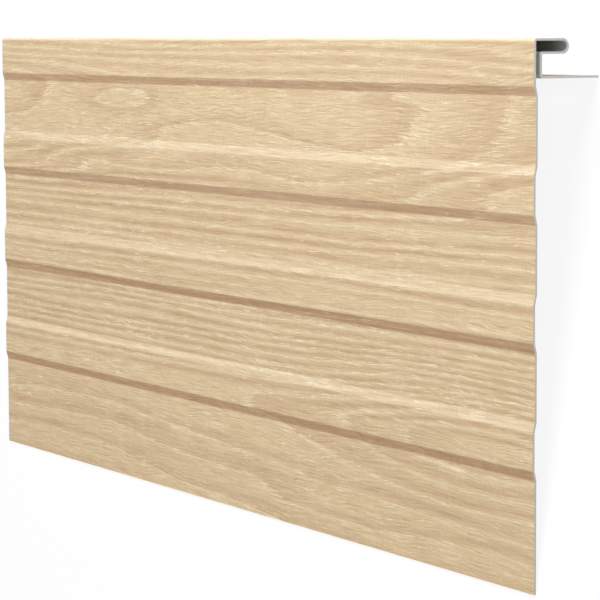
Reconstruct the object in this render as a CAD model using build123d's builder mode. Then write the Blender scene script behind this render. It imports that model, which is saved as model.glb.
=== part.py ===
from build123d import *
import math
import os

os.makedirs("parts", exist_ok=True)

# Lengths in millimetres. The profile lies face up: X runs along its length, the nose is on
# the +Y side, and it rests on the flange's tip and on the plate's free edge at Z = 0.

# Sheet
length = 500.0
wall = 1.0

# Ribbed plate, from the nose down to the free edge
band_count = 4
first_band = 20.4
raised_flat = 17.0
recess_flat = 29.8
last_flat = 49.8
bevel_run = 4.2
rib_depth = 1.05
rib_radius = 2.0

# Nose and pocket
nose_depth = 19.0
nose_height = 6.7
face_radius = 1.5
web_gap = 2.3
pocket_height = 9.4
fold_radius = 0.6

# Nailing flange
flange_reach = 16.5
slot_length = 28.0
slot_width = 3.6
slot_pitch = 50.0
slot_to_tip = 8.0
slot_clearance = 8.0

# Section frame: u runs from the free edge to the nose, w is the height above the back of
# the last recess, so the free edge's lower corner is the frame's origin
rib_pitch = recess_flat + bevel_run + raised_flat + bevel_run
plate_width = first_band + bevel_run + (band_count - 1) * rib_pitch + last_flat
recess_level = wall
face_level = wall + rib_depth
nose_radius = nose_height / 2
nose_centre_w = face_level - nose_depth + nose_radius
web_level = face_level - wall - web_gap - wall
underside_u = plate_width - nose_height
flange_u = underside_u - pocket_height
tip_level = face_level - nose_depth - flange_reach

# Resting pose: the line from the free edge to the flange's lower corner lies on the floor
tilt = math.atan2(-tip_level, flange_u - wall)
along_plate = (0, math.cos(tilt), math.sin(tilt))
nose_centre_u = plate_width - nose_radius
highest_y = nose_centre_u * math.cos(tilt) - nose_centre_w * math.sin(tilt) + nose_radius
lowest_y = -wall * math.sin(tilt)
free_edge_y = -(highest_y + lowest_y) / 2
end_plane = Plane(origin=(-length / 2, free_edge_y, 0), x_dir=along_plate, z_dir=(1, 0, 0))
middle_plane = end_plane.offset(length / 2)

# Slots: as many as the length takes at their pitch
slot_count = 1 + math.floor((length - 2 * slot_clearance - slot_length) / slot_pitch)
slot_centre = middle_plane.from_local_coords((flange_u, tip_level + slot_to_tip, 0))
flange_plane = Plane(origin=slot_centre, x_dir=(1, 0, 0), z_dir=along_plate)


def rib_points():
    """Corners of the ribbed face, from the first bevel beside the free edge to the nose."""
    points = []
    bevel_u = last_flat
    for band in range(band_count):
        points.append((bevel_u, recess_level))
        points.append((bevel_u + bevel_run, face_level))
        if band < band_count - 1:
            points.append((bevel_u + bevel_run + raised_flat, face_level))
            points.append((bevel_u + bevel_run + raised_flat + bevel_run, recess_level))
        bevel_u += rib_pitch
    return points


with BuildPart() as siding_profile:
    with BuildSketch(end_plane):
        with BuildLine():
            face = FilletPolyline(
                (0, recess_level),
                *rib_points(),
                (plate_width - face_radius, face_level),
                radius=rib_radius,
            )
            corner = JernArc(face @ 1, face % 1, face_radius, -90)
            nose_top = Line(corner @ 1, (plate_width, nose_centre_w))
            nose_end = JernArc(nose_top @ 1, nose_top % 1, nose_radius, -180)
            pocket = FilletPolyline(
                nose_end @ 1,
                (underside_u, web_level),
                (flange_u, web_level),
                (flange_u, tip_level),
                radius=fold_radius,
            )
            offset(amount=wall, side=Side.RIGHT, closed=True)
        make_face()
    extrude(amount=length)
    # Nail slots through the flange
    with BuildSketch(flange_plane):
        with GridLocations(slot_pitch, 0, slot_count, 1):
            SlotOverall(slot_length, slot_width)
    extrude(amount=-wall, mode=Mode.SUBTRACT)

siding_profile.part.label = "siding_profile"
export_step(siding_profile.part, "parts/siding_profile.step")
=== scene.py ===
# %% [markdown]
# # A length of wood-look siding trim
#
# The object is one extruded sheet of rigid vinyl, 1 mm thick: a wide ribbed plate, a folded nose,
# a pocket behind the nose and a flange for nails. Its whole face side is printed as light oak, and
# the plate and the nose are embossed as well. This lesson builds the sheet's visible skin in the
# place of the CAD model's solid, from the section line to the finish. Lengths are in metres, and
# `MM` turns a size on the drawing into metres.

import math

import bmesh
import bpy
import numpy as np
from mathutils import Matrix, Vector


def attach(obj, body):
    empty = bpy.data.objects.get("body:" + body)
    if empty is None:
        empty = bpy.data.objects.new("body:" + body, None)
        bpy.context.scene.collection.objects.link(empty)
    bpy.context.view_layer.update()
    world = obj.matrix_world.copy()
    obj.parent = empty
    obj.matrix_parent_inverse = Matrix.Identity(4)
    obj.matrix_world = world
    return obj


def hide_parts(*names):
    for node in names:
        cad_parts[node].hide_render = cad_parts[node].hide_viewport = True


MM = 0.001
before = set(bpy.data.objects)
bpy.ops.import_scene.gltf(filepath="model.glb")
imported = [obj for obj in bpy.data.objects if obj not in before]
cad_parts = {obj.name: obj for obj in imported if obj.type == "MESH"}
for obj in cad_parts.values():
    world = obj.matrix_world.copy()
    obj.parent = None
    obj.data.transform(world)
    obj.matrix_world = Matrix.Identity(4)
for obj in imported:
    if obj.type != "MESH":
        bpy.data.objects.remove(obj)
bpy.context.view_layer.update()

# %% [markdown]
# ## The camera
#
# The photograph looks along the profile from its near end, down at about 34 degrees, with the nose
# edge at the top. A camera is often aimed by three angles. Here it is aimed by two directions that
# the picture shows, the line of sight and the way that is down in it, because they are easier to
# check. A 150 mm lens narrows the plate towards its far end as the photograph does, and a small
# lens shift brings the plate's ends close to upright.

# %% Place the camera
LENS_MM = 150.0
SENSOR_MM = 36.0
LENS_SHIFT = -0.1
camera_place = Vector((1.0832, 0.0214, 0.6992))
sight_line = Vector((-0.8321, -0.0008, -0.5546))
picture_down = Vector((0.0673, -0.9928, -0.0995))

camera_data = bpy.data.cameras.new("camera")
camera_data.lens = LENS_MM
camera_data.sensor_width = SENSOR_MM
camera_data.shift_y = LENS_SHIFT
camera_data.clip_start = 0.01
camera_data.clip_end = 100.0
camera = bpy.data.objects.new("camera", camera_data)
bpy.context.scene.collection.objects.link(camera)
picture_right = picture_down.cross(sight_line).normalized()
picture_up = -sight_line.cross(picture_right).normalized()
turn = Matrix((picture_right, picture_up, -sight_line.normalized())).transposed()
camera.matrix_world = Matrix.Translation(camera_place) @ turn.to_4x4()
bpy.context.scene.camera = camera
print("camera", LENS_MM, "mm lens", [round(v, 3) for v in camera_place])

# %% [markdown]
# ## The section line
#
# An extrusion has one section all along it. That could be drawn as a closed outline, but then two
# lines have to be kept a wall apart by hand. So it is drawn as one line that the wall follows, and
# the line is walked like a path on the drawing: go straight, bend, go straight. Every run and bend
# becomes a few points with a heading, and the wall is laid off square to that heading, so it is
# 1 mm everywhere, also round the bends.

# %% Sizes from the drawing
LENGTH = 500.0 * MM
WALL = 1.0 * MM
BAND_COUNT = 4
FIRST_BAND = 20.4 * MM
RAISED_FLAT = 17.0 * MM
RECESS_FLAT = 29.8 * MM
LAST_FLAT = 49.8 * MM
BEVEL_RUN = 4.2 * MM
RIB_DEPTH = 1.05 * MM
RIB_RADIUS = 2.0 * MM
NOSE_DEPTH = 19.0 * MM
NOSE_HEIGHT = 6.7 * MM
FACE_RADIUS = 1.5 * MM
WEB_GAP = 2.3 * MM
POCKET_HEIGHT = 9.4 * MM
FOLD_RADIUS = 0.6 * MM
FLANGE_REACH = 16.5 * MM
SLOT_LENGTH = 28.0 * MM
SLOT_WIDTH = 3.6 * MM
SLOT_PITCH = 50.0 * MM
SLOT_TO_TIP = 8.0 * MM

rib_pitch = RECESS_FLAT + BEVEL_RUN + RAISED_FLAT + BEVEL_RUN
plate_width = FIRST_BAND + BEVEL_RUN + (BAND_COUNT - 1) * rib_pitch + LAST_FLAT
recess_level = WALL
face_level = WALL + RIB_DEPTH
nose_radius = NOSE_HEIGHT / 2
web_level = face_level - WALL - WEB_GAP - WALL
tip_level = face_level - NOSE_DEPTH - FLANGE_REACH
flange_u = plate_width - NOSE_HEIGHT - POCKET_HEIGHT
slot_band = 2 * SLOT_WIDTH
bevel_turn = math.atan2(RIB_DEPTH, BEVEL_RUN)
bevel_length = math.hypot(RIB_DEPTH, BEVEL_RUN)
rib_tangent = RIB_RADIUS * math.tan(bevel_turn / 2)
print("plate width", round(plate_width / MM, 2), "mm")
print("bevels turned", round(math.degrees(bevel_turn), 1), "degrees")

# %% List the runs and bends
FINE = 0.8 * MM
COARSE = 2.0 * MM


def section_steps():
    """Runs and bends from the free edge to the flange's tip, as (length, turn, spacing)."""
    rib_arc = RIB_RADIUS * bevel_turn
    up, down = (rib_arc, bevel_turn, None), (rib_arc, -bevel_turn, None)
    slope = (bevel_length - 2 * rib_tangent, 0, FINE)
    steps = [(LAST_FLAT - rib_tangent, 0, FINE)]
    for _ in range(BAND_COUNT - 1):
        steps += [up, slope, down, (RAISED_FLAT - 2 * rib_tangent, 0, FINE)]
        steps += [down, slope, up, (RECESS_FLAT - 2 * rib_tangent, 0, FINE)]
    steps += [up, slope, down, (FIRST_BAND - rib_tangent - FACE_RADIUS, 0, FINE)]
    steps += [(FACE_RADIUS * math.pi / 2, -math.pi / 2, None)]
    steps += [(NOSE_DEPTH - FACE_RADIUS - nose_radius, 0, FINE)]
    steps += [(nose_radius * math.pi, -math.pi, None)]
    steps += [(NOSE_DEPTH - nose_radius - (face_level - web_level) - FOLD_RADIUS, 0, COARSE)]
    steps += [(FOLD_RADIUS * math.pi / 2, math.pi / 2, None)]
    steps += [(POCKET_HEIGHT - 2 * FOLD_RADIUS, 0, COARSE)]
    steps += [(FOLD_RADIUS * math.pi / 2, math.pi / 2, None)]
    reach = web_level - tip_level - FOLD_RADIUS
    steps += [(reach - SLOT_TO_TIP - slot_band / 2, 0, COARSE)]
    steps += [(slot_band, 0, slot_band)]
    steps += [(SLOT_TO_TIP - slot_band / 2, 0, COARSE)]
    return steps


print("runs and bends", len(section_steps()))

# %% Walk the section
BACK_STEP = 4
BEND_STEP = math.radians(9)


def walk(steps):
    """Place points along runs and bends: on a run they advance along the heading, on a bend of
    length L and turn A they lie on an arc of radius L / A. Returns columns of u, w, heading and
    distance walked, and the numbers of the points that the plain back side also uses."""
    points = [np.array([[0.0, recess_level, 0.0, 0.0]])]
    shared = [0]
    for length, bend, spacing in steps:
        u, w, heading, walked = points[-1][-1]
        if bend:
            count = max(2, math.ceil(abs(bend) / BEND_STEP))
            t = np.arange(1, count + 1) / count
            radius = length / bend
            h = heading + bend * t
            new_u = u + radius * (np.sin(h) - math.sin(heading))
            new_w = w - radius * (np.cos(h) - math.cos(heading))
            skip = 1
        else:
            skip = BACK_STEP if spacing == FINE else 1
            count = skip * max(1, round(length / spacing / skip))
            t = np.arange(1, count + 1) / count
            h = np.full(count, heading)
            new_u = u + math.cos(heading) * length * t
            new_w = w + math.sin(heading) * length * t
        start = sum(len(p) for p in points)
        shared += list(range(start + skip - 1, start + count, skip))
        points.append(np.stack([new_u, new_w, h, walked + length * t], axis=1))
    return np.concatenate(points), np.array(shared)


section, back_rows = walk(section_steps())
print("section", len(section), "points,", len(back_rows), "of them on the back")
print("length of the line on the face side", round(section[-1, 3] / MM, 1), "mm")

# %% [markdown]
# ## Lying on the floor
#
# The profile lies face up on two lines: the plate's free edge and the flange's tip. A finished
# piece's object has to stay unturned, so the drawing's points are turned instead, until both lines
# touch the floor. It is the same turn as in the CAD model, and the width is centred on the origin.

# %% Turn the drawing onto the floor
tilt = math.atan2(-tip_level, flange_u - WALL)
nose_centre = (plate_width - nose_radius, face_level - NOSE_DEPTH + nose_radius)
highest_y = nose_centre[0] * math.cos(tilt) - nose_centre[1] * math.sin(tilt) + nose_radius
free_edge_y = -(highest_y - WALL * math.sin(tilt)) / 2


def lay_down(x, u, w):
    """Place drawing points: u runs up the leaning plate, w stands square to it."""
    y = free_edge_y + u * math.cos(tilt) - w * math.sin(tilt)
    z = u * math.sin(tilt) + w * math.cos(tilt)
    return np.stack(np.broadcast_arrays(x, y, z), axis=-1)


print("leans", round(math.degrees(tilt), 2), "degrees")

# %% [markdown]
# ## The wood figure
#
# A flat-sawn oak board shows its growth rings as long parallel lines where the saw ran square to
# them, and as ovals and arches where it only grazed them. Each line could be drawn as a curve, but
# a shader would then need hundreds of them. One smooth number over the sheet, the ring count, gives
# them all: each whole number is the end of a year's growth. It climbs steadily across the straight
# grain, and a few gentle hills and hollows in it turn lines into ovals and arches. Both were set
# against the photograph.

# %% Sum the rings across the sheet
# Ring density as (mm from the nose corner, rings per mm). It is zero on two heart lines, where
# the saw grazed the rings, and on the crest between them.
RING_DENSITY = (
    (-60, -0.20), (4, -0.21), (12, -0.20), (18, -0.10), (22, -0.03), (29, -0.012), (36, 0.0),
    (43, 0.007), (52, 0.03), (60, 0.07), (66, 0.09), (75, 0.13), (80, 0.16), (112, 0.1655),
    (119, 0.16), (124, 0.0), (130, -0.17), (137, -0.217), (166, -0.217), (174, -0.165),
    (180, -0.01), (186, 0.01), (198, 0.03), (206, 0.05), (245, 0.08),
)
# Where the first heart line lies, and the ring count on it
HEART_LINE = 36.0
HEART_COUNT = 0.80
TABLE_POINTS = 600

density_at, density = np.array(RING_DENSITY).T
table_q = np.linspace(density_at[0], density_at[-1], TABLE_POINTS)
table_rings = np.cumsum(np.interp(table_q, density_at, density)) * (table_q[1] - table_q[0])
heart_rings = np.interp(HEART_LINE, table_q, table_rings)
print("rings from one edge to the other", round(np.abs(np.diff(table_rings)).sum(), 1))

# %% Raise hills and hollows
# Hills and hollows: place along the sheet from its middle, place across it from the nose corner,
# half length, half width (all in mm) and height in rings
HILLS = (
    # Arches at the far end
    (-262.0, 21.0, 112.0, 30.0, -1.35),
    (-262.0, 68.0, 110.0, 15.0, -1.7),
    (-262.0, 60.0, 60.0, 5.0, -0.7),
    # Ovals and bays along the first heart line
    (-145.0, 67.0, 45.0, 6.0, 0.55),
    (-194.0, 33.0, 16.0, 6.0, 0.2),
    (-119.0, 32.0, 34.0, 6.0, 0.70),
    (-12.0, 51.0, 62.0, 9.0, 0.33),
    (-5.0, 66.0, 50.0, 7.0, 0.35),
    (80.0, 72.0, 45.0, 7.0, -0.45),
    (152.0, 25.0, 25.0, 6.0, 0.12),
    # Arches at the near end
    (300.0, 39.0, 84.0, 38.0, 2.5),
    (230.0, 67.0, 70.0, 13.0, 1.45),
    # The crest, and the figure along the second heart line
    (-30.0, 125.0, 250.0, 6.0, 0.32),
    (-170.0, 228.0, 150.0, 30.0, 1.2),
    (28.0, 219.0, 36.0, 9.0, 0.4),
    (215.0, 178.0, 110.0, 28.0, -3.0),
)
# Ripples: height in rings, seed, number of waves, their length and width in mm
UNEVEN_YEARS = (0.10, 21, 6, 600.0, 22.0)
SLOW_RIPPLE = (0.06, 5, 6, 300.0, 60.0)
SHORT_RIPPLE = (0.02, 11, 8, 110.0, 12.0)
# Rings per mm at which the grain counts as wholly straight
STRAIGHT_DENSITY = 0.16


def ripple(x, q, kind, share=1.0):
    """A slow seeded ripple: a sum of sine waves with lengths near long_mm along the sheet and
    wide_mm across it, about height high, of which each place takes a share."""
    height, seed, count, long_mm, wide_mm = kind
    draw = np.random.default_rng(seed)
    total = 0.0
    for _ in range(count):
        kx, kq = draw.uniform(0.5, 1.5, 2) * 2 * np.pi / np.array([long_mm, wide_mm])
        total = total + np.sin(kx * x + draw.choice((-1, 1)) * kq * q + draw.uniform(0, 2 * np.pi))
    return height * share * (total / math.sqrt(count / 2))


def ring_count(x, q):
    """Rings at x along and q across the sheet, in mm: the density summed across the sheet, plus
    Gaussian hills, plus uneven years in the straight grain, plus two slow ripples."""
    rings = np.interp(q, table_q, table_rings) - heart_rings + HEART_COUNT
    for along, across, half_length, half_width, height in HILLS:
        hill = np.exp(-(((x - along) / half_length) ** 2) - ((q - across) / half_width) ** 2)
        rings = rings + height * hill
    straight = np.clip(np.abs(np.interp(q, density_at, density)) / STRAIGHT_DENSITY, 0, 1)
    for kind, share in ((UNEVEN_YEARS, straight), (SLOW_RIPPLE, 1.0), (SHORT_RIPPLE, 1.0)):
        rings = rings + ripple(x, q, kind, share)
    return rings


def ring_slopes(x, q):
    """Rings per mm along the sheet, with their sign, and rings per mm whichever way they run."""
    along = (ring_count(x + 1, q) - ring_count(x - 1, q)) / 2
    across = (ring_count(x, q + 1) - ring_count(x, q - 1)) / 2
    return along, np.hypot(along, across)


print("rings at the sheet's middle, on the heart line", round(float(ring_count(0.0, HEART_LINE)), 2))

# %% [markdown]
# ## The sheet
#
# The real sheet is one piece, so its skin is one closed mesh. A flat sheet could get its thickness
# from Solidify and its relief from Displace. Carrying the section along the length as a grid does
# both at once and keeps every point where the drawing has it. The printed side gets a fine grid,
# where the embossing follows the rings, and the back gets a plain one.

# %% Carry the section along the length
# One more than a multiple of the slots, so that each slot's tile begins and ends on a station
STATIONS = 121
EMBOSS = 0.05 * MM
END_FADE_MM = 4.0
# Smaller than any size here, for comparing headings and for joining points
TINY = 1e-6
# The nose corner begins where the heading first turns down further than a bevel's
corner_walk = section[np.argmax(section[:, 2] < -TINY - bevel_turn), 3]
nose_end_walk = corner_walk + (NOSE_DEPTH + NOSE_HEIGHT)


def emboss_depth(x, q):
    """How deep the die pressed: half of one minus the cosine of the ring count's turn, squared, so
    nothing at a ring's edge and most at its middle, and faded out towards the ends."""
    rings = ring_count(x, q)
    fade = np.clip((LENGTH / MM / 2 - np.abs(x)) / END_FADE_MM, 0, 1)
    return EMBOSS * fade * (0.5 - 0.5 * np.cos(2 * np.pi * rings)) ** 2


stations = np.linspace(-LENGTH / 2, LENGTH / 2, STATIONS)
u, w, heading, walked = section.T[:, :, None]
across = (corner_walk - walked) / MM
along = stations[None, :] / MM
depth = np.where(walked < nose_end_walk, emboss_depth(along, across), 0.0)
# The free edge's own line lies on the floor, so it has no relief
depth = depth * np.clip(walked / FINE, 0, 1)
front = lay_down(stations[None, :], u + np.sin(heading) * depth, w - np.cos(heading) * depth)
back = lay_down(stations[None, :], u + np.sin(heading) * WALL, w - np.cos(heading) * WALL)[back_rows]
bevel_side = np.clip(heading / bevel_turn, -1, 1) * (walked < corner_walk)
print("front grid", front.shape[:2], "back grid", back.shape[:2])
print("deepest embossing", round(depth.max() / MM, 3), "mm")

# %% [markdown]
# ## Faces and ends
#
# A grid of points becomes a surface when each cell gets a face. Both grids, and the narrow cut
# edges between them, get their faces from their vertex numbers alone. The sawn ends could be one
# face with hundreds of corners, but such a face fills badly, so each end is a row of short ones.
# A strip of the flange is left out of both grids, for the nail slots.

# %% Make the faces of the grids
# The numbers of the finishes, in the order in which the sheet gets them
PRINT, BACK, CUT = range(3)
front_id = np.arange(front.shape[0] * STATIONS).reshape(front.shape[:2])
back_id = front_id.size + np.arange(back.shape[0] * STATIONS).reshape(back.shape[:2])


def grid_quads(ids, flip=False):
    """Four corners for each cell of a grid of vertex numbers, turned over if flip is set."""
    corners = [ids[:-1, :-1], ids[1:, :-1], ids[1:, 1:], ids[:-1, 1:]]
    quads = np.stack(corners, axis=-1).reshape(-1, 4)
    return quads[:, ::-1] if flip else quads


band_row = len(section) - 1 - round((SLOT_TO_TIP - slot_band / 2) / COARSE)
band_back = np.searchsorted(back_rows, band_row)
groups = [
    (grid_quads(front_id[:band_row], True), PRINT),
    (grid_quads(front_id[band_row:], True), PRINT),
    (grid_quads(back_id[:band_back]), BACK),
    (grid_quads(back_id[band_back:]), BACK),
    (grid_quads(np.stack([front_id[0], back_id[0]])), CUT),
    (grid_quads(np.stack([front_id[-1], back_id[-1]]), True), CUT),
]
print("faces of the grids", [len(quads) for quads, _ in groups])

# %% Close the ends
def end_faces(column, flip):
    """One face per back row at an end: the back's two points and the front's points between."""
    faces = []
    for row in range(len(back_rows) - 1):
        first, last = back_rows[row], back_rows[row + 1]
        ring = [*front_id[first:last + 1, column], back_id[row + 1, column], back_id[row, column]]
        faces.append(ring[::-1] if flip else ring)
    return faces


ends = end_faces(0, False) + end_faces(-1, True)
print("end faces", len(ends))

# %% [markdown]
# ## The nail slots
#
# The flange has a row of punched slots, so that it can be nailed and still slide as it warms. A
# Boolean cut would do, but it leaves long thin faces that shade badly. Instead the strip is filled
# with tiles, one per slot: a ring of faces between the tile's outline and the slot's, whose points
# on the outline are the grid's own.

# %% Draw one tile
slot_count = round(LENGTH / SLOT_PITCH)
tile_cells = round((STATIONS - 1) / slot_count)
SLOT_END_TURN = math.radians(80)


def slot_edge(x):
    """Slot outline beside a point x along the tile: straight at half the slot's width, then an
    arc that has almost reached the slot's end at the tile's edge."""
    straight = SLOT_LENGTH / 2 - SLOT_WIDTH / 2
    beyond = np.clip((np.abs(x) - straight) / (SLOT_PITCH / 2 - straight), 0, 1)
    angle = beyond * SLOT_END_TURN
    inner = np.clip(x, -straight, straight)
    return inner + np.sign(x) * SLOT_WIDTH / 2 * np.sin(angle), SLOT_WIDTH / 2 * np.cos(angle)


def closed_ring(x, half_width):
    """A closed ring of points: out along one side and back along the other."""
    return np.concatenate([x, x[::-1]]), np.concatenate([half_width, -half_width[::-1]])


tile_x = np.linspace(-SLOT_PITCH / 2, SLOT_PITCH / 2, tile_cells + 1)
tile_rings = (
    closed_ring(tile_x, np.full(tile_cells + 1, slot_band / 2)),
    closed_ring(*slot_edge(tile_x)),
)
ring_size = len(tile_rings[0][0])
print("points round a tile", ring_size)

# %% Lay the tiles in the strip
slot_w = tip_level + SLOT_TO_TIP
strip_walk = section[band_row, 3] - slot_band / 2
centres = (np.arange(slot_count) - (slot_count - 1) / 2)[:, None] * SLOT_PITCH
laid_rings = []
ring_walks = []
for side_u in (flange_u, flange_u - WALL):
    for ring_x, ring_w in tile_rings:
        laid_rings.append(lay_down(centres + ring_x, side_u, slot_w + ring_w).reshape(-1, 3))
        ring_walks.append(np.tile(strip_walk - ring_w, slot_count))
tile_points = np.concatenate(laid_rings)
tile_walk = np.concatenate(ring_walks)
first_id = front_id.size + back_id.size
tile_id = first_id + np.arange(len(tile_points)).reshape(4, slot_count, ring_size)


def ring_quads(outer, inner, flip=False):
    """Faces between two closed rings of vertex numbers, one row of rings per slot."""
    corners = [outer, np.roll(outer, -1, 1), np.roll(inner, -1, 1), inner]
    quads = np.stack(corners, axis=-1).reshape(-1, 4)
    return quads[:, ::-1] if flip else quads


groups += [
    (ring_quads(tile_id[0], tile_id[1], True), PRINT),
    (ring_quads(tile_id[2], tile_id[3]), BACK),
    (ring_quads(tile_id[1], tile_id[3], True), CUT),
]
print("slots", slot_count, "tile points", len(tile_points))

# %% [markdown]
# ## One closed mesh
#
# Grids, ends and tiles now go into one mesh. A finish on such a sheet needs to know where it is on
# the flat sheet, before the folds, so each point carries that place, the ring count and how
# steeply it climbs there, and which way a bevel faces. A UV map could hold the place, but not the
# rest, so all of it is stored in the same way, as attributes that a shader reads by name.

# %% Put the sheet together
RING_NAMES = ("rings", "ring_slope", "ring_density")


def wood_figure(x, q):
    """The ring count at each place, its climb along the sheet, and its climb whichever way."""
    return ring_count(x, q), *ring_slopes(x, q)


def over_skin(on_front, on_back, on_tiles):
    """One value for each point of the skin, in the order of its vertex numbers."""
    values = [np.broadcast_to(on_front, front_id.shape), np.broadcast_to(on_back, back_id.shape)]
    return np.concatenate([*(v.ravel() for v in values), on_tiles]).astype(np.float32)


def set_attribute(mesh, name, values):
    """Store one number, or one place of three numbers, on each point of a mesh."""
    kind, field = ("FLOAT", "value") if values.ndim == 1 else ("FLOAT_VECTOR", "vector")
    mesh.attributes.new(name, kind, "POINT").data.foreach_set(field, values.ravel())


def make_sheet():
    """All points and faces as one mesh, with its finishes, ring counts and places."""
    points = np.concatenate([front.reshape(-1, 3), back.reshape(-1, 3), tile_points])
    faces = [face for quads, _ in groups for face in quads.tolist()] + ends
    finishes = [np.full(len(quads), finish) for quads, finish in groups] + [np.full(len(ends), CUT)]
    mesh = bpy.data.meshes.new("siding_skin")
    mesh.from_pydata(points.tolist(), [], faces)
    mesh.polygons.foreach_set("material_index", np.concatenate(finishes).astype(np.int32))
    on_front = wood_figure(along, across)
    on_tiles = wood_figure(tile_points[:, 0] / MM, (corner_walk - tile_walk) / MM)
    for name, front_value, tile_value in zip(RING_NAMES, on_front, on_tiles):
        set_attribute(mesh, name, over_skin(front_value, 0.0, tile_value))
    set_attribute(mesh, "bevel", over_skin(bevel_side, 0.0, np.zeros(len(tile_points))))
    place_x = over_skin(stations, stations, tile_points[:, 0])
    place_y = over_skin(walked, walked[back_rows], tile_walk)
    set_attribute(mesh, "sheet_place", np.stack([place_x, place_y, np.zeros_like(place_x)], axis=1))
    mesh.update()
    return mesh


skin = bpy.data.objects.new("siding_skin", make_sheet())
bpy.context.scene.collection.objects.link(skin)
print("skin", len(skin.data.vertices), "points", len(skin.data.polygons), "faces")

# %% Join and smooth
SHARP_TURN = math.radians(30)

work = bmesh.new()
work.from_mesh(skin.data)
bmesh.ops.remove_doubles(work, verts=work.verts, dist=TINY)
print("open edges", sum(len(edge.link_faces) != 2 for edge in work.edges), "faces", len(work.faces))
print("volume", round(work.calc_volume() / MM ** 3), "cubic mm")
work.to_mesh(skin.data)
work.free()
skin.data.shade_smooth()
skin.data.set_sharp_from_angle(angle=SHARP_TURN)
print("triangles", sum(len(face.vertices) - 2 for face in skin.data.polygons))
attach(skin, "root")
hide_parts("siding_profile")

# %% [markdown]
# ## Materials from nodes
#
# The sheet has three finishes: the printed wood on its face side, the plain extruded vinyl behind
# it, and the same vinyl where a saw or a punch cut it. Each is a material built from shader nodes.
# Nodes are usually joined by hand in the editor. A script is easier to read and to change, if a few
# short helpers add a node with its inputs filled in, do a sum, or mix two colours.

# %% Node helpers
def add_node(tree, kind, inputs=(), **settings):
    """Add a shader node. Each input is a plain value, or the socket that feeds it."""
    node = tree.nodes.new("ShaderNode" + kind)
    for name, value in settings.items():
        setattr(node, name, value)
    for key, value in dict(inputs).items():
        if isinstance(value, bpy.types.NodeSocket):
            tree.links.new(value, node.inputs[key])
        else:
            node.inputs[key].default_value = value
    return node


def calc(tree, operation, *values):
    """One Math node on values or sockets, and its result."""
    return add_node(tree, "Math", enumerate(values), operation=operation).outputs["Value"]


def spread(tree, value, low, high, first=0.0, last=1.0, **settings):
    """Stretch a value from low..high to first..last, and stop at both ends."""
    inputs = {"Value": value, 1: low, 2: high, 3: first, 4: last}
    return add_node(tree, "MapRange", inputs, **settings).outputs["Result"]


def blend(tree, amount, first, second):
    """The first colour where amount is 0, the second where it is 1."""
    inputs = {"Factor": amount, 6: first, 7: second}
    return add_node(tree, "Mix", inputs, data_type="RGBA").outputs[2]


def tint(tree, colour, by):
    """A colour with its red, green and blue each multiplied by those of another."""
    return add_node(tree, "VectorMath", {0: colour, 1: by}, operation="MULTIPLY").outputs["Vector"]


def screen_colour(red, green, blue):
    """A colour as seen on a screen, 0 to 255, in the linear values that nodes use."""
    c = np.array([red, green, blue]) / 255.0
    c = np.where(c <= 0.04045, c / 12.92, ((c + 0.055) / 1.055) ** 2.4)
    return (*c.tolist(), 1.0)


print("a screen's middle grey is", round(screen_colour(128, 128, 128)[0], 3), "in linear values")

# %% Start a material
def new_material(name):
    """A material with its own Principled BSDF, and the tree and shader to work on."""
    material = bpy.data.materials.new(name)
    material.use_nodes = True
    return material, material.node_tree, material.node_tree.nodes["Principled BSDF"]


def carried(tree, name, output="Fac"):
    """What the sheet's points carry under a name: a number, or with "Vector" a place."""
    return add_node(tree, "Attribute", attribute_name=name).outputs[output]


def add_relief(tree, shader, height, strength, depth):
    """Shade the surface as if it had a fine relief of a given depth, which the mesh lacks."""
    bump = add_node(tree, "Bump", {"Height": height, "Strength": strength, "Distance": depth})
    tree.links.new(bump.outputs["Normal"], shader.inputs["Normal"])


print("the sheet's points carry", *RING_NAMES, "bevel and sheet_place")

# %% [markdown]
# ## Streaks
#
# Wood fibres, the lines that an extrusion die leaves and the marks of a saw are one effect at
# different sizes: noise that is stretched one way. Each could be built afresh, but then a change
# has to be made many times. So it is one node group with a length and a width, placed in every
# material with its own values.

# %% Streaks as a node group
def make_streaks():
    """Noise read at (x / length, y / width, kind): about 0.5 on average, from 0.2 to 0.8."""
    group = bpy.data.node_groups.new("streaks", "ShaderNodeTree")
    group.interface.new_socket("Place", in_out="INPUT", socket_type="NodeSocketVector")
    for name, value in (("Length mm", 20.0), ("Width mm", 1.0), ("Kind", 0.0)):
        socket = group.interface.new_socket(name, in_out="INPUT", socket_type="NodeSocketFloat")
        socket.default_value = value
    group.interface.new_socket("Streak", in_out="OUTPUT", socket_type="NodeSocketFloat")
    given = group.nodes.new("NodeGroupInput").outputs
    result = group.nodes.new("NodeGroupOutput")
    parts = add_node(group, "SeparateXYZ", {"Vector": given["Place"]}).outputs
    to_mm = 1 / MM
    along = calc(group, "DIVIDE", calc(group, "MULTIPLY", parts["X"], to_mm), given["Length mm"])
    across = calc(group, "DIVIDE", calc(group, "MULTIPLY", parts["Y"], to_mm), given["Width mm"])
    at = add_node(group, "CombineXYZ", {"X": along, "Y": across, "Z": given["Kind"]})
    look = {"Vector": at.outputs["Vector"], "Scale": 1.0, "Detail": 2.0, "Roughness": 0.55}
    noise = add_node(group, "TexNoise", look)
    group.links.new(noise.outputs["Fac"], result.inputs["Streak"])
    return group


streaks_group = make_streaks()
# Between these a streak goes from weak to strong
STREAK_RANGE = (0.3, 0.7)


def streaks(tree, place, size):
    """Streaks of a size: length mm, width mm and kind. Another kind gives other streaks."""
    length, width, kind = size
    inputs = {"Place": place, "Length mm": length, "Width mm": width, "Kind": kind}
    return add_node(tree, "Group", inputs, node_tree=streaks_group).outputs["Streak"]


print("node group", streaks_group.name, "with", len(streaks_group.nodes), "nodes")

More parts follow.
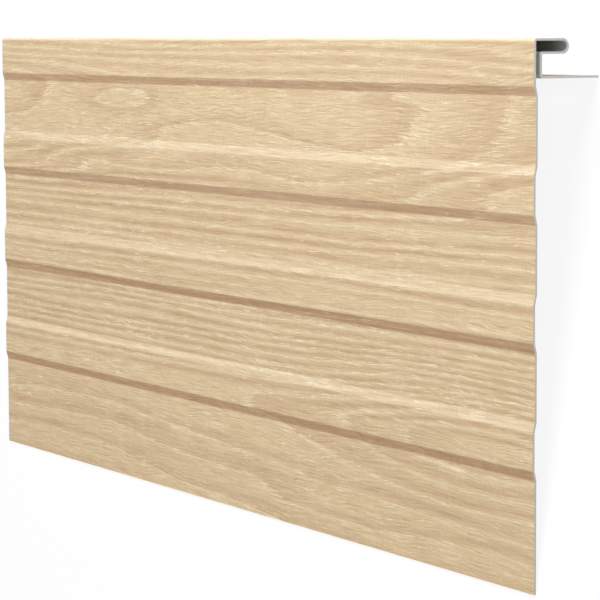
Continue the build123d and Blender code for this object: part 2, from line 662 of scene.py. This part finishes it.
# %% [markdown]
# ## Wavy fibres
#
# Light oak is printed on the vinyl, and the print repeats what a board shows. Its fibres follow
# the trunk and are never dead straight. They could be bent by noise in every pattern on its own,
# but then flecks, pores and fibres would cross each other. So the place itself is moved across the
# sheet by a slow wave and a short one, and all that follows the fibres is read at the moved place.

# %% Move the place across the sheet
SLOW_WAVE = (110.0, 35.0, 9.0)
SLOW_DRIFT = 12 * MM
SHORT_WAVE = (13.0, 4.0, 12.0)
SHORT_DRIFT = 2.6 * MM


def wavy_place(tree, flat):
    """The flat place, moved across by both waves' streaks times their drifts."""
    drift = calc(tree, "MULTIPLY_ADD", streaks(tree, flat, SLOW_WAVE), SLOW_DRIFT, -SLOW_DRIFT / 2)
    drift = calc(tree, "MULTIPLY_ADD", streaks(tree, flat, SHORT_WAVE), SHORT_DRIFT, drift)
    drift = add_node(tree, "CombineXYZ", {"Y": drift}).outputs["Vector"]
    return add_node(tree, "VectorMath", {0: flat, 1: drift}, operation="ADD").outputs["Vector"]


print("fibres drift", round(SLOW_DRIFT / MM, 1), "and", round(SHORT_DRIFT / MM, 1), "mm")

# %% [markdown]
# ## Ring edges
#
# Each ring ends in a jump from brown to cream, and the jump is jagged, because fibres end there. A
# clean edge would look drawn. So streaks slide the ring count along the sheet and bend it across,
# before it is cut into single years. The distance to the next edge and since the last one, in mm,
# then says where the brown line and the pale fringe lie, however wide the ring is.

# %% Find the years and their edges
FIBRE_ENDS = (40.0, 1.0, 1.0)
FIBRE_SLIDE = 17.0
RING_WIGGLE = (24.0, 0.9, 2.0)
RING_BEND = 1.1
STRETCH = 8.0
LEAST_STEEPNESS = 0.005


def jagged_years(tree, place, slope, density):
    """The part of the ring count after the point, from 0 to 1 over a year: the count plus the
    slide times its climb along the sheet, plus the bend times its whole climb."""
    slid = calc(tree, "MULTIPLY_ADD", streaks(tree, place, FIBRE_ENDS), 2 * FIBRE_SLIDE, -FIBRE_SLIDE)
    bent = calc(tree, "MULTIPLY_ADD", streaks(tree, place, RING_WIGGLE), 2 * RING_BEND, -RING_BEND)
    jagged = calc(tree, "MULTIPLY_ADD", slid, slope, carried(tree, "rings"))
    jagged = calc(tree, "MULTIPLY_ADD", bent, density, jagged)
    return calc(tree, "FRACT", jagged)


def edge_distances(tree, year, slope, density):
    """Mm to the next ring's edge, and since the last: what is left of the year, or gone, divided
    by the count's climb. The climb along the sheet counts STRETCH times, so the brown of an arch
    is drawn out that much further along the fibres at its tip than across them at its sides."""
    lean = calc(tree, "MULTIPLY", calc(tree, "MULTIPLY", slope, slope), STRETCH ** 2 - 1)
    steep = calc(tree, "SQRT", calc(tree, "MULTIPLY_ADD", density, density, lean))
    steep = calc(tree, "MAXIMUM", steep, LEAST_STEEPNESS)
    left = calc(tree, "SUBTRACT", 1.0, year)
    return calc(tree, "DIVIDE", left, steep), calc(tree, "DIVIDE", year, steep)


print("ring edges slide", FIBRE_SLIDE, "mm along and bend", RING_BEND, "mm across")

# %% [markdown]
# ## Ring colours
#
# Over a year the wood goes from cream to a soft brown. In the straight grain the lines are narrow,
# and a colour that rises and falls back over each ring is enough. In the wide ovals only a band
# before each edge is brown, which needs the distance in mm. So there are two ways to brown a ring,
# blended by how densely the rings lie, and a colour ramp turns the amount of brown into a colour.

# %% Colour the rings
# Each range gives two limits, and the values that belong to them
SOFT_BY_DENSITY = (0.02, 0.17, 0.02, 0.5)
BROWN_BY_MM = (0.5, 8.0, 0.72, 0.20)
FAINT_YEARS = (120.0, 7.0, 10.0)
FAINT_RANGE = (0.35, 0.65, -0.25, 0.25)
CONTRAST = 0.93
BEVEL_CONTRAST = 0.5
BY_THE_NOSE = (212 * MM, 222 * MM, 1.0, 0.68)
# How brown, and the colour as seen on a screen
RING_COLOURS = (
    (0.0, (233, 209, 171)),
    (0.18, (226, 200, 161)),
    (0.45, (220, 193, 155)),
    (1.0, (206, 174, 137)),
)


def ring_brown(tree, year, to_edge, density, straight):
    """How brown a ring is. Straight grain: the year's part over 1 - soft, or what is left of it
    over soft, whichever is less. Wide rings: more the nearer the next edge is."""
    soft = spread(tree, density, *SOFT_BY_DENSITY)
    rising = calc(tree, "DIVIDE", year, calc(tree, "SUBTRACT", 1.0, soft))
    falling = calc(tree, "DIVIDE", calc(tree, "SUBTRACT", 1.0, year), soft)
    narrow = calc(tree, "MINIMUM", rising, falling)
    wide = spread(tree, to_edge, *BROWN_BY_MM)
    more = calc(tree, "MULTIPLY", calc(tree, "SUBTRACT", narrow, wide), straight)
    return calc(tree, "ADD", more, wide)


def print_contrast(tree, place, from_free_edge, bevel, straight):
    """How strong the brown is: CONTRAST, with some years of the straight grain fainter and some
    stronger, times BEVEL_CONTRAST on the bevels, and weaker on the flat beside the nose."""
    uneven = spread(tree, streaks(tree, place, FAINT_YEARS), *FAINT_RANGE)
    on_bevel = spread(tree, calc(tree, "ABSOLUTE", bevel), 0.0, 1.0, 1.0, BEVEL_CONTRAST)
    by_nose = spread(tree, from_free_edge, *BY_THE_NOSE)
    contrast = calc(tree, "MULTIPLY_ADD", uneven, straight, CONTRAST)
    return calc(tree, "MULTIPLY", calc(tree, "MULTIPLY", contrast, on_bevel), by_nose)


def ring_colour(tree, brown):
    """The colour for an amount of brown, read from a ramp through RING_COLOURS."""
    ramp = add_node(tree, "ValToRGB", {"Fac": brown})
    stops = ramp.color_ramp.elements
    stops.remove(stops[1])
    stops[0].color = screen_colour(*RING_COLOURS[0][1])
    for amount, colour in RING_COLOURS[1:]:
        stops.new(amount).color = screen_colour(*colour)
    return ramp.outputs["Color"]


print("ring colours", len(RING_COLOURS))

# %% [markdown]
# ## Flecks, pores and fibres
#
# Seen close, the print is made of short cream flecks, which crowd behind each ring's edge, of a
# few brown pores, and of long and fine fibres that are a little lighter or darker. A photograph of
# wood would give them at once, but it would also fix their size and repeat. Streaks of several
# sizes give each of them its own values, and where a streak is strong enough, a fleck shows.

# %% Scatter flecks and pores
FLECK_PATCHES = (60.0, 14.0, 11.0)
FLECKS = (12.0, 0.5, 3.0)
PORES = (8.0, 0.5, 4.0)
# Limits, and the values that belong to them
FRINGE_BY_MM = (0.1, 2.6, 1.0, 0.0)
PATCH_RANGE = (0.50, 0.66, 0.0, 0.06)
FLECK_RANGE = (0.61, 0.68, 0.0, 0.72)
PORE_RANGE = (0.60, 0.68, 0.0, 0.25)
FLECK_COLOUR = (246, 229, 194)
PORE_COLOUR = (192, 158, 124)
MORE_BEHIND_EDGES = 0.135
FEWER_IN_STRAIGHT = 0.03


def pale_flecks(tree, place, patches, since_edge, straight):
    """Streaks, raised just behind a ring's edge and in patches, and lowered in straight grain:
    what then reaches FLECK_RANGE shows as a fleck."""
    fringe = spread(tree, since_edge, *FRINGE_BY_MM)
    fleck = calc(tree, "MULTIPLY_ADD", fringe, MORE_BEHIND_EDGES, streaks(tree, place, FLECKS))
    fleck = calc(tree, "MULTIPLY_ADD", straight, -FEWER_IN_STRAIGHT, fleck)
    fleck = calc(tree, "ADD", fleck, spread(tree, patches, *PATCH_RANGE))
    return spread(tree, fleck, *FLECK_RANGE)


def dark_pores(tree, place):
    """The strongest of their own short streaks, with a quarter of the pore's colour at most."""
    return spread(tree, streaks(tree, place, PORES), *PORE_RANGE)


print("flecks", FLECKS[:2], "pores", PORES[:2], "mm long and wide")

# %% Shade the fibres
LONG_FIBRES = (90.0, 0.7, 5.0)
FINE_FIBRES = (20.0, 0.45, 6.0)
CLOUDS = (160.0, 30.0, 7.0)
COMB_MARKS = (1.1, 6.0, 8.0)
LONG_SHARE = 0.36
CLOUD_SHARE = 0.04
COMB_SHARE = 0.24
BASE_TONE = 0.79
FINE_SHARE = (1.05, 0.76)
COMB_BY_PATCH = (0.42, 0.60, 0.4, 1.1)
# How much of the tone red, green and blue take, and what makes all three 1 at a tone of 1
TONE_TAKEN = (0.8, 1.0, 1.2)
TONE_KEPT = (0.2, 0.0, -0.2)


def fibre_tone(tree, flat, place, fibre, patches, straight):
    """How light each fibre is, as red, green and blue: long fibres, fine ones, slow clouds and
    the short marks that cross them, each times its share. The share of the fine ones is smaller
    in straight grain. Blue changes most, red least."""
    fine = calc(tree, "SUBTRACT", streaks(tree, place, FINE_FIBRES), 0.5)
    fine_share = spread(tree, straight, 0.0, 1.0, *FINE_SHARE)
    cloud = streaks(tree, place, CLOUDS)
    comb = calc(tree, "SUBTRACT", streaks(tree, flat, COMB_MARKS), 0.5)
    comb = calc(tree, "MULTIPLY", comb, spread(tree, patches, *COMB_BY_PATCH))
    tone = calc(tree, "MULTIPLY_ADD", fibre, LONG_SHARE, BASE_TONE)
    for part, share in ((fine, fine_share), (cloud, CLOUD_SHARE), (comb, COMB_SHARE)):
        tone = calc(tree, "MULTIPLY_ADD", part, share, tone)
    inputs = {0: tone, 1: TONE_TAKEN, 2: TONE_KEPT}
    return add_node(tree, "VectorMath", inputs, operation="MULTIPLY_ADD").outputs["Vector"]


print("fibres", LONG_FIBRES[:2], "and", FINE_FIBRES[:2], "mm long and wide")

# %% [markdown]
# ## The printed wood
#
# The finish puts these parts together as the print has them: ring colours first, flecks and pores
# over them, then the fibres' tone. Over the print, shade is painted on the bevels that face away
# from the nose and the key lamp, most on the two nearest the free edge, and a painted highlight
# makes those that face them a little lighter. Both are painted because a lamp strong enough for
# them would change the rest too. The gloss is low, and a fine relief raises the flecks and sinks
# the pores.

# %% Make the wood print
# Rings per mm from which the grain turns straight, and at which it is
TO_STRAIGHT = (0.05, 0.14)
# Painted shade: a brown tint for the bevels that face away from the nose and the key lamp
BEVEL_PAINTED_SHADE = (0.80, 0.675, 0.655)
# How much painted shade, by distance from the free edge: all of it up to 110 mm, 0.78 from 160 mm
PAINTED_SHADE_BY_PLACE = (110 * MM, 160 * MM, 1.0, 0.78)
# Painted highlight: a pale tint for the bevels that face the nose and the key lamp
BEVEL_PAINTED_HIGHLIGHT = (0.96, 0.985, 1.045)
WOOD_GLOSS = 0.15
WOOD_ROUGHNESS = (0.68, 0.82)
# Strength and depth
PRINT_RELIEF = (0.6, 0.05 * MM)


def paint_bevel_shade_and_highlight(tree, colour, bevel, from_free_edge):
    """Painted shade on the bevels that face away from the nose and the key lamp, most on the two
    nearest the free edge, and a painted highlight on those that face them: the colour times a tint,
    blended in by how far the bevel has turned."""
    # Painted shade on the bevels that face away from the light, more near the free edge
    painted_shade_amount = spread(tree, from_free_edge, *PAINTED_SHADE_BY_PLACE)
    painted_shade_amount = calc(tree, "MULTIPLY", spread(tree, bevel, 0.0, 1.0), painted_shade_amount)
    painted_shade_colour = blend(tree, painted_shade_amount, colour, tint(tree, colour, BEVEL_PAINTED_SHADE))
    # Painted highlight on the bevels that face the light
    painted_highlight_amount = spread(tree, bevel, 0.0, -1.0)
    return blend(tree, painted_highlight_amount, painted_shade_colour, tint(tree, colour, BEVEL_PAINTED_HIGHLIGHT))


def wood_print():
    """Ring colours, flecks and pores blended over them, times the fibres' tone, with painted shade
    and a painted highlight on the bevels.
    """
    material, tree, shader = new_material("wood_print")
    flat = carried(tree, "sheet_place", "Vector")
    from_free_edge = add_node(tree, "SeparateXYZ", {"Vector": flat}).outputs["Y"]
    slope, density, bevel = (carried(tree, n) for n in ("ring_slope", "ring_density", "bevel"))
    straight = spread(tree, density, *TO_STRAIGHT)
    place = wavy_place(tree, flat)
    patches, fibre = streaks(tree, place, FLECK_PATCHES), streaks(tree, place, LONG_FIBRES)

    year = jagged_years(tree, place, slope, density)
    to_edge, since_edge = edge_distances(tree, year, slope, density)
    brown = ring_brown(tree, year, to_edge, density, straight)
    contrast = print_contrast(tree, place, from_free_edge, bevel, straight)
    colour = ring_colour(tree, calc(tree, "MULTIPLY", brown, contrast))

    fleck = pale_flecks(tree, place, patches, since_edge, straight)
    pore = dark_pores(tree, place)
    colour = blend(tree, fleck, colour, screen_colour(*FLECK_COLOUR))
    colour = blend(tree, pore, colour, screen_colour(*PORE_COLOUR))
    colour = tint(tree, colour, fibre_tone(tree, flat, place, fibre, patches, straight))
    tree.links.new(paint_bevel_shade_and_highlight(tree, colour, bevel, from_free_edge), shader.inputs["Base Color"])
    rough = spread(tree, fibre, *STREAK_RANGE, *WOOD_ROUGHNESS)
    tree.links.new(rough, shader.inputs["Roughness"])
    add_relief(tree, shader, calc(tree, "SUBTRACT", fleck, pore), *PRINT_RELIEF)
    shader.inputs["Specular IOR Level"].default_value = WOOD_GLOSS
    return material


print("bevels tinted", BEVEL_PAINTED_SHADE, "and", BEVEL_PAINTED_HIGHLIGHT)

# %% [markdown]
# ## The bare vinyl
#
# Behind the print the sheet is plain off-white vinyl. The die leaves very fine lines along it, and
# the colour is never quite even. Where it was sawn and punched it is a little greyer, and rough.
# One plain grey would look too even close up, so both finishes take their colour, gloss and
# relief from streaks: long ones along the sheet, and short ones across the cut.

# %% Make the bare vinyl
DIE_LINES = (900.0, 0.8, 7.0)
VINYL_CLOUDS = (90.0, 25.0, 8.0)
LINES_SHARE = 0.5
SAW_MARKS = (6.0, 0.35, 9.0)
BACK_COLOURS = ((208, 206, 200), (222, 221, 216))
CUT_COLOURS = ((208, 208, 209), (226, 226, 229))
BACK_LEAST_ROUGH = 0.3
CUT_LEAST_ROUGH = 0.5
ROUGHNESS_SPAN = 0.3
# Strength and depth
VINYL_RELIEF = (0.5, 0.03 * MM)


def dress_vinyl(tree, shader, tone, colours, wear, least_rough, relief):
    """The first colour where the tone is weak and the second where it is strong, as rough as the
    wear times a span above the least roughness, with a shallow relief."""
    amount = spread(tree, tone, *STREAK_RANGE)
    colour = blend(tree, amount, *(screen_colour(*c) for c in colours))
    rough = calc(tree, "MULTIPLY_ADD", wear, ROUGHNESS_SPAN, least_rough)
    tree.links.new(colour, shader.inputs["Base Color"])
    tree.links.new(rough, shader.inputs["Roughness"])
    add_relief(tree, shader, relief, *VINYL_RELIEF)


def sheet_back():
    """Fine die lines along the sheet, and a slow unevenness in colour and gloss."""
    material, tree, shader = new_material("sheet_back")
    place = carried(tree, "sheet_place", "Vector")
    lines = streaks(tree, place, DIE_LINES)
    cloud = streaks(tree, place, VINYL_CLOUDS)
    tone = calc(tree, "MULTIPLY", cloud, 1 - LINES_SHARE)
    tone = calc(tree, "MULTIPLY_ADD", lines, LINES_SHARE, tone)
    dress_vinyl(tree, shader, tone, BACK_COLOURS, cloud, BACK_LEAST_ROUGH, lines)
    return material


def cut_edge():
    """Saw marks: short streaks that run across the wall."""
    material, tree, shader = new_material("cut_edge")
    place = add_node(tree, "TexCoord").outputs["Object"]
    parts = add_node(tree, "SeparateXYZ", {"Vector": place}).outputs
    turned = add_node(tree, "CombineXYZ", {"X": parts["Z"], "Y": parts["Y"], "Z": parts["X"]})
    marks = streaks(tree, turned.outputs["Vector"], SAW_MARKS)
    dress_vinyl(tree, shader, marks, CUT_COLOURS, marks, CUT_LEAST_ROUGH, marks)
    return material


for finish in (wood_print(), sheet_back(), cut_edge()):
    skin.data.materials.append(finish)
    print("finish", finish.name, len(finish.node_tree.nodes), "nodes")

# %% [markdown]
# ## The white floor
#
# The photograph has the profile on plain white. A floor lit until it is white would send far too
# much light back onto the object. So the floor and the world show white to the camera and to
# reflections, while they light the object only as a pale floor and a soft sky would. Near the
# object a tenth of the floor is real paint, which keeps the object's shadow. Further out even that
# fades, so no horizon shows.

# %% Lay the floor
FLOOR_REACH = 8.0
PAINT_SHARE = 0.1
SHADOW_REACH = (0.4, 1.6)
PAINT_GREY = (0.65, 0.65, 0.65, 1.0)
WHITE = (1.0, 1.0, 1.0, 1.0)


def seen_rays(tree):
    """1 for what the camera, a reflection or a clear material sees, 0 for light on the object."""
    rays = add_node(tree, "LightPath").outputs
    seen = calc(tree, "MAXIMUM", rays["Is Camera Ray"], rays["Is Glossy Ray"])
    return calc(tree, "MAXIMUM", seen, rays["Is Transmission Ray"])


def white_floor():
    """A flat square: matt white paint, mixed with a plain white glow in what is seen."""
    corners = [(-1, -1), (1, -1), (1, 1), (-1, 1)]
    mesh = bpy.data.meshes.new("floor")
    mesh.from_pydata([(FLOOR_REACH * x, FLOOR_REACH * y, 0) for x, y in corners], [], [(0, 1, 2, 3)])
    floor = bpy.data.objects.new("floor", mesh)
    bpy.context.scene.collection.objects.link(floor)
    material, tree, shader = new_material("white_floor")
    tree.nodes.remove(shader)
    seen = seen_rays(tree)
    paint_colour = blend(tree, seen, PAINT_GREY, WHITE)
    paint = add_node(tree, "BsdfDiffuse", {"Color": paint_colour}).outputs["BSDF"]
    glow = add_node(tree, "Emission").outputs["Emission"]
    place = add_node(tree, "TexCoord").outputs["Object"]
    far = add_node(tree, "VectorMath", {0: place}, operation="LENGTH").outputs["Value"]
    share = spread(tree, far, *SHADOW_REACH, 1 - PAINT_SHARE, 1.0, interpolation_type="SMOOTHSTEP")
    amount = calc(tree, "MULTIPLY", seen, share)
    mixed = add_node(tree, "MixShader", {"Fac": amount, 1: paint, 2: glow}).outputs["Shader"]
    tree.links.new(mixed, tree.nodes["Material Output"].inputs["Surface"])
    mesh.materials.append(material)
    return floor


white_floor()
print("floor", 2 * FLOOR_REACH, "m square, shadow fades by", SHADOW_REACH[1], "m")

# %% [markdown]
# ## Soft light
#
# The photograph is softly lit from the nose side, and the bevels that face away from it are in
# shade. One small lamp would cast hard shadows under the nose. So a dim, slightly warm sky lights
# the object from all round, a wide key lamp stands high on the nose side, and a faint fill lamp
# close to the floor opens the inside of the nose and the pocket.

# %% Set the sky
SKY_LIGHT = 0.38
SKY_COLOUR = (1.0, 0.93, 0.86, 1.0)

world = bpy.data.worlds.new("studio")
bpy.context.scene.world = world
world.use_nodes = True
sky = world.node_tree
seen = seen_rays(sky)
sky.links.new(blend(sky, seen, SKY_COLOUR, WHITE), sky.nodes["Background"].inputs["Color"])
strength = calc(sky, "MULTIPLY_ADD", seen, 1 - SKY_LIGHT, SKY_LIGHT)
sky.links.new(strength, sky.nodes["Background"].inputs["Strength"])
print("sky light", SKY_LIGHT)

# %% Hang the lamps
KEY_COLOUR = (0.94, 1.0, 1.07)
KEY_SIZE, KEY_WATTS = 0.9, 29.0
FILL_SIZE, FILL_WATTS = 0.5, 1.2
PLATE_MIDDLE = (0, 0, 0)
NOSE_END = (0.25, 0.1, 0.02)


def area_lamp(name, place, target, size, watts, colour=WHITE[:3]):
    """A round area lamp that faces its target."""
    data = bpy.data.lights.new(name, "AREA")
    data.shape = "DISK"
    data.size = size
    data.energy = watts
    data.color = colour
    lamp = bpy.data.objects.new(name, data)
    lamp.location = place
    lamp.rotation_euler = (Vector(target) - Vector(place)).to_track_quat("-Z", "Y").to_euler()
    bpy.context.scene.collection.objects.link(lamp)
    print(name, watts, "W at", place)


area_lamp("key_lamp", (0.26, 1.16, 1.10), PLATE_MIDDLE, KEY_SIZE, KEY_WATTS, KEY_COLOUR)
area_lamp("fill_lamp", (1.2, 0.9, 0.2), NOSE_END, FILL_SIZE, FILL_WATTS)

# %% [markdown]
# ## Finish
#
# The colours go to the screen as they are, because a film-like view would shift the print.

# %% Finish
scene = bpy.context.scene
scene.view_settings.view_transform = "Standard"
